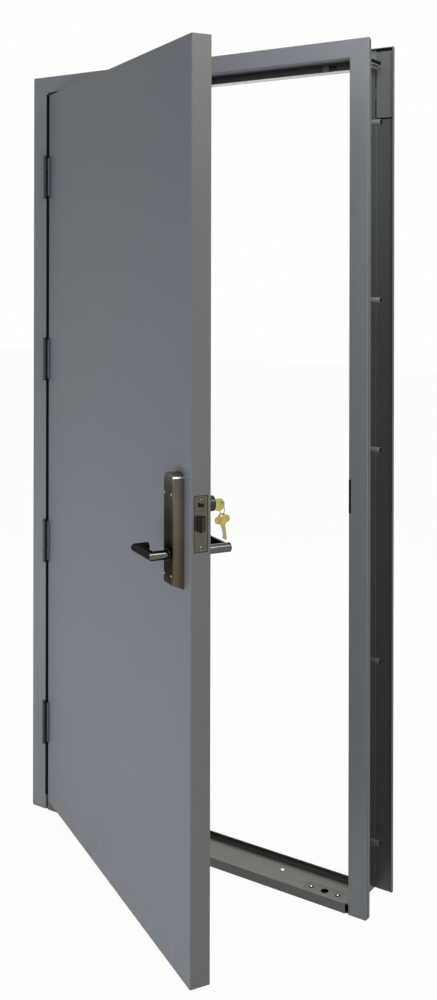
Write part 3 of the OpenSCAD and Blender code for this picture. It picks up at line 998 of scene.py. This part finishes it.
def addHousingTrim(node, lever, outward, settings):
    low, high = shutBox(node)
    axisX = (low.x + high.x) / 2
    faceY = low.y if outward < 0 else high.y
    direction = (0, outward, 0)
    heights = (high.z - settings["screwFromTop"], low.z + settings["screwFromFoot"])
    places = [(side, height) for side in (-1, 1) for height in heights]
    for number, (side, height) in enumerate(places, 1):
        place = (axisX + side * settings["screwSide"], faceY + outward * settings["near"], height)
        spin = settings["screwSpin"] * number
        name = node + "Screw" + str(number)
        addScrew(name, settings["screwSize"], place, direction, spin, plainSteel, "leaf")
    leverLow, leverHigh = shutBox(lever)
    radius = (leverHigh.z - leverLow.z) / 2
    outer, inner = radius + settings["neckRing"], radius + settings["neckGap"]
    ring = addRing(node + "NeckRing", outer, inner, settings["neckRingDepth"], settings["neckRingBevel"])
    setPiece(ring, (axisX, faceY, (leverLow.z + leverHigh.z) / 2), direction)
    finishPiece(ring, collarBronze, "leaf")


for side, outward in (("front", -1), ("back", 1)):
    modelHousing(side + "Housing", side + "_housing", outward, housingSettings)
    addHousingTrim(side + "_housing", side + "_lever", outward, housingSettings)
print("lever housings done")

# ---- back lever ----

leverCapSettings = {"gap": 0.0001, "rim": 0.0025, "bevel": 0.0012, "sides": 40}


# The round end of the neck that shows at the outer corner of the lever
def addLeverCap(settings):
    low, high = shutBox("back_lever")
    radius = (high.z - low.z) / 2
    gap, rim, sides, bevel = (settings[label] for label in ("gap", "rim", "sides", "bevel"))
    cap = addDisc("backLeverCorner", radius, radius - gap, rim, 0.0, sides, bevel)
    setPiece(cap, (high.x - radius, high.y - radius - gap, (low.z + high.z) / 2), (0, 1, 0))
    finishPiece(cap, backLeverMetal, "back_lever")


addLeverCap(leverCapSettings)
print("levers done")

# ---- lock edge ----

latchLow, latchHigh = shutBox("latch_bolt")
auxLow, auxHigh = shutBox("aux_latch")
faceplateSettings = {
    "half": (0.016, 0.062),
    "rim": 0.0013,
    "rimRise": 0.00025,
    "frameSink": 0.0004,
    "guard": 0.0010,
    "guardGap": 0.0006,
    "guardRise": 0.0006,
    "screwOffset": (0.0516, -0.054),
    "screwSize": 8,
    "screwSpin": 0.5,
    "screwRise": 0.0004,
    "shadeDish": (0.0052, 0.0004, 0.0008, 0.0002),
    "capSide": 0.002,
    "capEnds": (0.0006, 0.0003),
    "capSink": 0.0004,
    "capRise": 0.00015,
    "capBevel": 0.0001,
}


# A thin square ring on the lock edge, as a line round an opening from low to high
def addEdgeFrame(name, low, high, width, rise, material, sink):
    low = (leafHigh.x - sink, low[0] - width, low[1] - width)
    high = (leafHigh.x + rise, high[0] + width, high[1] + width)
    piece = addBlock(name, low, high)
    openThrough(piece, lambda face: abs(face.normal.x) > 0.9, width)
    finishPiece(piece, material, "leaf")


def addFaceplate(settings):
    edgeX = leafHigh.x
    plateLow, plateHigh = shutBox("lock_body")
    middle = (plateLow.z + plateHigh.z) / 2
    halfWide, halfTall = settings["half"]
    sink = settings["frameSink"]
    low, high = (leafMidY - halfWide, middle - halfTall), (leafMidY + halfWide, middle + halfTall)
    # The black frame round the faceplate paints the shade in the gap round it
    addEdgeFrame("faceplateRimShade", low, high, settings["rim"], settings["rimRise"], blackSteelAndShade, sink)
    gap = settings["guardGap"]
    low, high = (latchLow.y - gap, latchLow.z - gap), (latchHigh.y + gap, latchHigh.z + gap)
    addEdgeFrame("latchGuard", low, high, settings["guard"], settings["guardRise"], faceplateBronze, sink)
    for number, offset in enumerate(settings["screwOffset"]):
        name = str(number + 1)
        height = middle + offset
        # A black dish under each screw as painted shade round its head
        shadeDish = addDisc("faceplateShadeDish" + name, *settings["shadeDish"])
        setPiece(shadeDish, (edgeX, leafMidY, height), (1, 0, 0))
        finishPiece(shadeDish, blackSteelAndShade, "leaf")
        place = (edgeX + settings["screwRise"], leafMidY, height)
        spin = settings["screwSpin"] + number
        size = settings["screwSize"]
        addScrew("faceplateScrew" + name, size, place, (1, 0, 0), spin, dullSteel, "leaf")
    side = settings["capSide"]
    start, end = settings["capEnds"]
    cap = addBlock(
        "auxLatchTop",
        (edgeX + start, auxLow.y + side, auxHigh.z - settings["capSink"]),
        (auxHigh.x - end, auxHigh.y - side, auxHigh.z + settings["capRise"]),
        settings["capBevel"],
    )
    finishPiece(cap, brightSteel, "aux_latch")


addFaceplate(faceplateSettings)
print("lock edge done")

# ---- cylinder and keys ----

cylinderLow, cylinderHigh = shutBox("lock_cylinder")
cylinderSettings = {
    "collar": 0.018,
    "ringInner": 0.0145,
    "ringDepth": 0.0016,
    "seatOut": 0.0015,
    "seatIn": 0.0005,
    "seatDepth": 0.0018,
    "bevel": 0.0005,
}
bushSettings = {"hole": 0.0031, "gap": 0.0002, "inner": 0.45, "rise": 0.0009, "bevel": 0.0002, "sides": 24}


def addCollarRing(name, outer, inner, depth, faceY, bevel):
    ring = addRing(name, outer, inner, depth, bevel)
    place = ((cylinderLow.x + cylinderHigh.x) / 2, faceY, (cylinderLow.z + cylinderHigh.z) / 2)
    setPiece(ring, place, (0, 1, 0))
    finishPiece(ring, blackSteelAndShade, "leaf")


def addCollar(settings):
    radius = settings["collar"]
    bevel = settings["bevel"]
    seatOuter, seatInner = radius + settings["seatOut"], radius - settings["seatIn"]
    addCollarRing("collarRing", radius, settings["ringInner"], settings["ringDepth"], cylinderHigh.y, bevel)
    addCollarRing("collarSeatRing", seatOuter, seatInner, settings["seatDepth"], cylinderLow.y, bevel)


# A small collar in the hole of the bow; it turns with the ring that runs through it
def addBowBush(settings):
    low, high = shutBox("key")
    ringLow, ringHigh = shutBox("key_ring")
    gap = settings["gap"]
    hole = settings["hole"]
    depth = high.x - low.x - 2 * gap
    inner, bevel, sides = hole * settings["inner"], settings["bevel"], settings["sides"]
    bush = addRing("bowBush", hole - gap, inner, depth, bevel, sides)
    height = (cylinderLow.z + cylinderHigh.z) / 2 + settings["rise"]
    setPiece(bush, (low.x + gap, (ringLow.y + ringHigh.y) / 2, height), (1, 0, 0))
    finishPiece(bush, keyBrass, "key_ring")


addCollar(cylinderSettings)
addBowBush(bushSettings)
print("cylinder and keys done")

# ---- hinges ----

hingeSettings = {
    "strip": 0.0036,
    "stripAcross": (0.0002, 0.0038),
    "stripSink": 0.0008,
    "stripEnd": 0.006,
    "stripBevel": 0.0005,
    "screwSize": 9,
    "screwRows": (-0.045, -0.016, 0.016, 0.045),
    "screwBack": (0.014, 0.032),
    "screwRise": 0.0001,
    "tip": (0.0062, 0.0022, 0.0022, -0.0012, 28, 0.0004),
    "tipSink": 0.0014,
}


def addHingeScrews(number, middle, settings):
    size = settings["screwSize"]
    rise = settings["screwRise"]
    for row, offset in enumerate(settings["screwRows"]):
        name = number + "_" + str(row + 1)
        y = frontY + settings["screwBack"][row % 2]
        z = middle + offset
        place = (rise - faceX, y, z)
        addScrew("frameHingeScrew" + name, size, place, (1, 0, 0), 0.7 * row, plainSteel, "frame")
        place = (leafLow.x - rise, y, z)
        spin = 0.4 + 0.9 * row
        addScrew("doorHingeScrew" + name, size, place, (-1, 0, 0), spin, plainSteel, "leaf")


def addHingeTrim(number, settings):
    doorLow, doorHigh = shutBox("door_hinge_" + number)
    pinLow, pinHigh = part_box("hinge_pin_" + number)
    middle = (doorLow.z + doorHigh.z) / 2
    half = (pinHigh.z - pinLow.z) / 2 - settings["stripEnd"]
    near, far = settings["stripAcross"]
    strip = addBlock(
        "doorHingeStrip" + number,
        (leafLow.x + near, leafLow.y - settings["strip"], middle - half),
        (leafLow.x + far, leafLow.y + settings["stripSink"], middle + half),
        settings["stripBevel"],
    )
    finishPiece(strip, plainPaint, "leaf")
    addHingeScrews(number, middle, settings)
    tip = addDisc("hingeTip" + number, *settings["tip"])
    place = ((pinLow.x + pinHigh.x) / 2, (pinLow.y + pinHigh.y) / 2, pinLow.z + settings["tipSink"])
    setPiece(tip, place, (0, 0, -1))
    finishPiece(tip, framePaint, "frame")


for number in hingeNumbers:
    addHingeTrim(number, hingeSettings)
print("hinges done")

# ---- edge seal of the hinge jamb ----

edgeSealSettings = {
    "near": 0.0001,
    "thick": 0.0016,
    "depth": (0.0003, 0.014),
    "foot": 0.004,
    "top": 0.053,
    "ribSide": 0.004,
    "rib": 0.0004,
    "lip": 0.0022,
    "lipRise": 0.0004,
}


# A flat seal on the jamb's face, with a rib along it and a lip round the jamb's corner; its near-black is
# partly the seal's rubber and partly painted shade of the gap
def addEdgeSeal(settings):
    near = settings["near"]
    front, rear = settings["depth"]
    lipFrom = frontY + near
    piece = addBlock(
        "hingeEdgeSeal",
        (near - faceX, frontY + front, sillHigh.z + settings["foot"]),
        (settings["thick"] - faceX, frontY + rear, headHigh.z - settings["top"]),
    )

    def frontFace(face):
        return face.normal.y < -0.9 and face.area > 0.001

    def lipFace(face):
        return face.normal.x < -0.9 and face.center.y < lipFrom and face.area > 0.0005

    insetFaces(piece, lambda face: face.normal.x > 0.9, settings["ribSide"], settings["rib"])
    extrudeFaces(piece, frontFace, (0, -front - settings["lipRise"], 0))
    extrudeFaces(piece, lipFace, (-settings["lip"], 0, 0))
    finishPiece(piece, rubberAndShadeBlack, "frame")


addEdgeSeal(edgeSealSettings)
print("edge seal done")

# ---- throats of the jambs ----

throatSettings = {
    "sleeve": 0.0072,
    "sleeveBevel": 0.0005,
    "sleeveSides": 28,
    "bore": 0.0057,
    "short": 0.003,
    "apart": 0.03,
    "weld": 0.0100,
    "weldGap": 0.0001,
    "weldDepth": 0.003,
    "weldBevel": 0.0011,
    "hole": (0.0067, 0.002, 0.001, 0.0005, 24),
    "holeFrom": 0.0014,
    "FootShadeStrip": (-0.0022, 0.0006),
    "TopShadeStrip": (-0.002, 0.004),
    "shadeStripOut": 0.0006,
    "shadeStripBevel": 0.0005,
    "blockBevel": 0.0004,
    "shelf": ((0.508, 0.5280), (-0.002, 0.054), (2.1495, 2.1530)),
    "slotShade": ((0.512, 0.5295), (-0.002, 0.055), (2.1530, 2.1610)),
    "lug": ((0.5200, 0.5220), (0.012, 0.046), (2.1405, 2.1500)),
    "cornerShade": ((0.5056, 0.5080), (0.0715, 0.0745)),
    "cornerShadeHeights": ((2.097, 2.145), (2.021, 2.066)),
}
tubeLow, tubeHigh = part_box("strike_jamb_anchors")


def tubeHeights(apart):
    groups = []
    for z in sorted({round(v.co.z, 4) for v in nodes["strike_jamb_anchors"].data.vertices}):
        if groups and z - groups[-1][-1] < apart:
            groups[-1].append(z)
        else:
            groups.append([z])
    return [(group[0] + group[-1]) / 2 for group in groups]


# One thin sleeve with its weld and a near-black disc in its bore as painted shade; start and end are
# distances from the middle
def addSleeve(name, number, side, start, end, height, settings):
    y = (tubeLow.y + tubeHigh.y) / 2
    direction = (side, 0, 0)
    radius = settings["sleeve"]
    bevel, sides = settings["sleeveBevel"], settings["sleeveSides"]
    sleeve = addRing("sleeve", radius, settings["bore"], end - start, bevel, sides)
    setPiece(sleeve, (side * start, y, height), direction)
    inner = radius + settings["weldGap"]
    depth, bevel = settings["weldDepth"], settings["weldBevel"]
    weld = addRing(name + "Weld" + number, settings["weld"], inner, depth, bevel)
    setPiece(weld, (side * (start + halfSheet), y, height), direction)
    finishPiece(weld, primerCoat, "frame")
    hollow = addDisc(name + "BoreShade" + number, *settings["hole"])
    setPiece(hollow, (side * (end - settings["holeFrom"]), y, height), direction)
    finishPiece(hollow, rubberAndShadeBlack, "frame")
    return sleeve


def addSleeves(side, name, settings):
    start, end = stopX + halfSheet, tubeHigh.x - settings["short"]
    sleeves = [
        addSleeve(name, str(number), side, start, end, height, settings)
        for number, height in enumerate(tubeHeights(settings["apart"]), 1)
    ]
    joined = sleeves[0]
    makeActive(joined)
    for sleeve in sleeves:
        sleeve.select_set(True)
    bpy.ops.object.join()
    joined.name = name + "Sleeves"
    finishPiece(joined, sleeveSteel, "frame")
    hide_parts(name.replace("Jamb", "_jamb") + "_anchors")


# A black strip as painted shadow along the foot and the top of the corner plate
def addShadeStrips(name, settings):
    low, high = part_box(name.replace("Jamb", "") + "_corner_gusset")
    front = low.y - settings["shadeStripOut"]
    for label, edgeZ in (("FootShadeStrip", low.z), ("TopShadeStrip", high.z)):
        below, above = settings[label]
        start, end = (low.x, front, edgeZ + below), (high.x, high.y, edgeZ + above)
        shadeStrip = addBlock(name + label, start, end, settings["shadeStripBevel"])
        finishPiece(shadeStrip, blackSteelAndShade, "frame")


# A small block behind the jamb, given for the strike side and mirrored for the other
def addThroatBlock(side, name, across, deep, tall, material, bevel):
    near, far = sorted(side * value for value in across)
    block = addBlock(name, (near, deep[0], tall[0]), (far, deep[1], tall[1]), bevel)
    finishPiece(block, material, "frame")


def addThroat(side, name, settings):
    addSleeves(side, name, settings)
    addShadeStrips(name, settings)
    bevel = settings["blockBevel"]
    # A near-black block as painted shade of the slot at the top of the throat, and two thin near-black blocks
    # as painted shadow in its inner corner
    for label, material in (("shelf", sleeveSteel), ("slotShade", rubberAndShadeBlack), ("lug", primerCoat)):
        addThroatBlock(side, name + label.capitalize(), *settings[label], material, bevel)
    for number, tall in enumerate(settings["cornerShadeHeights"], 1):
        addThroatBlock(side, name + "Seam" + str(number), *settings["cornerShade"], tall, rubberAndShadeBlack, bevel)


addThroat(1, "strikeJamb", throatSettings)
addThroat(-1, "hingeJamb", throatSettings)
print("throats done")

# ---- head strike ----

headSlotShadeSettings = {"middle": (0.432, 2.1425), "half": (0.011, 0.004), "out": 0.0006, "bevel": 0.0004}


# A black block in the stop beside the head strike, as painted shade of a slot
def addHeadSlotShade(settings):
    middleX, middleZ = settings["middle"]
    halfX, halfZ = settings["half"]
    low = (middleX - halfX, sealLow.y - settings["out"], middleZ - halfZ)
    high = (middleX + halfX, sealHigh.y, middleZ + halfZ)
    slot = addBlock("headStrikeSlotShade", low, high, settings["bevel"])
    finishPiece(slot, blackSteelAndShade, "frame")


addHeadSlotShade(headSlotShadeSettings)
print("head strike done")

# ---- sill ----

strikeLow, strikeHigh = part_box("sill_strike")
sillSettings = {
    "screwSide": 0.038,
    "screwSize": 5,
    "screwForward": 0.001,
    "screwRise": 0.0004,
    "screwSpin": 0.7,
    "shadeDish": (0.0066, 0.0003, 0.0008, 0.0001),
    "treadScrew": (0.286, -0.026),
    "treadScrewSize": 9,
    "treadScrewRise": 0.0005,
    "treadScrewSpin": 0.3,
    "notch": (0.3185, 0.0197),
    "notchHalf": 0.004,
    "notchDepth": (0.0006, 0.0004),
    "notchRise": (0.004, 0.0002),
    "notchBevel": 0.0002,
    "wedge": (0.0125, 0.0197),
    "wedgeTop": 0.006,
    "wedgeFoot": (0.001, 0.0008),
}


def addStrikeScrews(settings):
    middle = (strikeLow + strikeHigh) / 2
    for number, side in enumerate((-1, 1)):
        name = str(number + 1)
        x = middle.x + side * settings["screwSide"]
        # A near-black dish under each screw as painted shade round its head
        shadeDish = addDisc("sillStrikeShadeDish" + name, *settings["shadeDish"])
        setPiece(shadeDish, (x, middle.y, strikeHigh.z), (0, 0, 1))
        finishPiece(shadeDish, rubberAndShadeBlack, "frame")
        place = (x, middle.y - settings["screwForward"], strikeHigh.z + settings["screwRise"])
        spin = settings["screwSpin"] * number
        size = settings["screwSize"]
        addScrew("sillStrikeScrew" + name, size, place, (0, 0, 1), spin, brightSteel, "frame")


def addTreadScrew(settings):
    place = (*settings["treadScrew"], strikeHigh.z + settings["treadScrewRise"])
    spin = settings["treadScrewSpin"]
    addScrew("treadScrew", settings["treadScrewSize"], place, (0, 0, 1), spin, brightSteel, "frame")


# A black block in the upstand's front, as painted shade of a notch
def addNotchShade(settings):
    x, y = settings["notch"]
    half = settings["notchHalf"]
    out, into = settings["notchDepth"]
    below, above = settings["notchRise"]
    low, high = (x - half, y - out, sillHigh.z - below), (x + half, y + into, sillHigh.z + above)
    notch = addBlock("upstandNotchShade", low, high, settings["notchBevel"])
    finishPiece(notch, blackSteelAndShade, "frame")


# The slope between the tread and its upstand
def addWedge(settings):
    front, rear = settings["wedge"]
    foot, lip = settings["wedgeFoot"]
    tread = strikeHigh.z
    wedge = addBlock("treadWedge", (-stopX, front, tread - foot), (stopX, rear, tread + settings["wedgeTop"]))
    for point in wedge.data.vertices:
        if point.co.y < (front + rear) / 2 and point.co.z > tread:
            point.co.z = tread - lip
    finishPiece(wedge, sillMetal, "frame")


addStrikeScrews(sillSettings)
addTreadScrew(sillSettings)
addNotchShade(sillSettings)
addWedge(sillSettings)
print("sill done")

for model in screwModels.values():
    bpy.data.objects.remove(model)

# ---- room ----

roomSettings = {
    "floorSize": 30,
    "floorGap": 0.0005,
    "floorColour": (0.86, 0.86, 0.86, 1.0),
    "white": 1.015,
    "share": 0.95,
    "world": 0.35,
}


# 1 where a surface is looked at, mirrored or seen through, 0 where it only lights the rest
def shownRays(tree):
    rays = addNode(tree, "LightPath").outputs
    shown = addMath(tree, "MAXIMUM", rays["Is Camera Ray"], rays["Is Glossy Ray"])
    return addMath(tree, "MAXIMUM", shown, rays["Is Transmission Ray"])


def addFloor(settings):
    deselectAll()
    place = (0, 0, cadBox[0][2] - settings["floorGap"])
    bpy.ops.mesh.primitive_plane_add(size=settings["floorSize"], location=place)
    floor = bpy.context.object
    floor.name = "studioFloor"
    material, tree, shader = newMaterial("floorCoat", 0.9, 0.0, 0.0)
    shader.inputs["Base Color"].default_value = settings["floorColour"]
    floor.data.materials.append(material)
    share = addMath(tree, "MULTIPLY", shownRays(tree), settings["share"])
    white = addNode(tree, "Emission", {"Strength": settings["white"]}).outputs[0]
    mix = addNode(tree, "MixShader", {0: share, 1: shader.outputs[0], 2: white}).outputs[0]
    feed(tree, tree.nodes["Material Output"].inputs["Surface"], mix)


def setWorld(strength):
    world = bpy.data.worlds.new("studioRoom")
    scene.world = world
    world.use_nodes = True
    tree = world.node_tree
    background = tree.nodes["Background"]
    background.inputs["Color"].default_value = (1.0, 1.0, 1.0, 1.0)
    lift = addMath(tree, "MULTIPLY", shownRays(tree), 1.0 - strength)
    feed(tree, background.inputs["Strength"], addMath(tree, "ADD", lift, strength))


# Each lamp's place, the point it looks at, its size and its power in watts
lampSettings = {
    "keyLamp": ((1.3, -1.0, 2.8), (0.45, -0.2, 2.0), (0.8, 0.8), 22.0),
    "rimLamp": ((2.15, -0.42, 2.8), (0.3, -0.5, 1.0), (0.5, 0.5), 9.0),
    "fillLamp": ((-0.65, -2.6, 2.65), (0.4, 0.0, 2.1), (0.9, 0.9), 7.0),
    "lowLamp": ((-0.75, -1.55, 0.42), (-0.05, -0.35, 0.25), (1.5, 0.7), 10.0),
    "sideLamp": ((1.6, -2.4, 0.5), (0.5, 0.0, 0.8), (1.2, 1.2), 15.0),
    "backLamp": ((-1.3, 2.6, 2.3), (0.0, 0.0, 1.2), (1.8, 1.8), 40.0),
}


def addLamp(name, place, target, size, power):
    deselectAll()
    bpy.ops.object.light_add(type="AREA", location=place)
    lamp = bpy.context.object
    lamp.name = name
    lamp.data.shape = "RECTANGLE"
    lamp.data.size, lamp.data.size_y = size
    lamp.data.energy = power
    lamp.visible_camera = False
    direction = Vector(target) - Vector(place)
    lamp.rotation_euler = direction.to_track_quat("-Z", "Y").to_euler()


addFloor(roomSettings)
setWorld(roomSettings["world"])
for name, values in lampSettings.items():
    addLamp(name, *values)
print("room and lamps set")
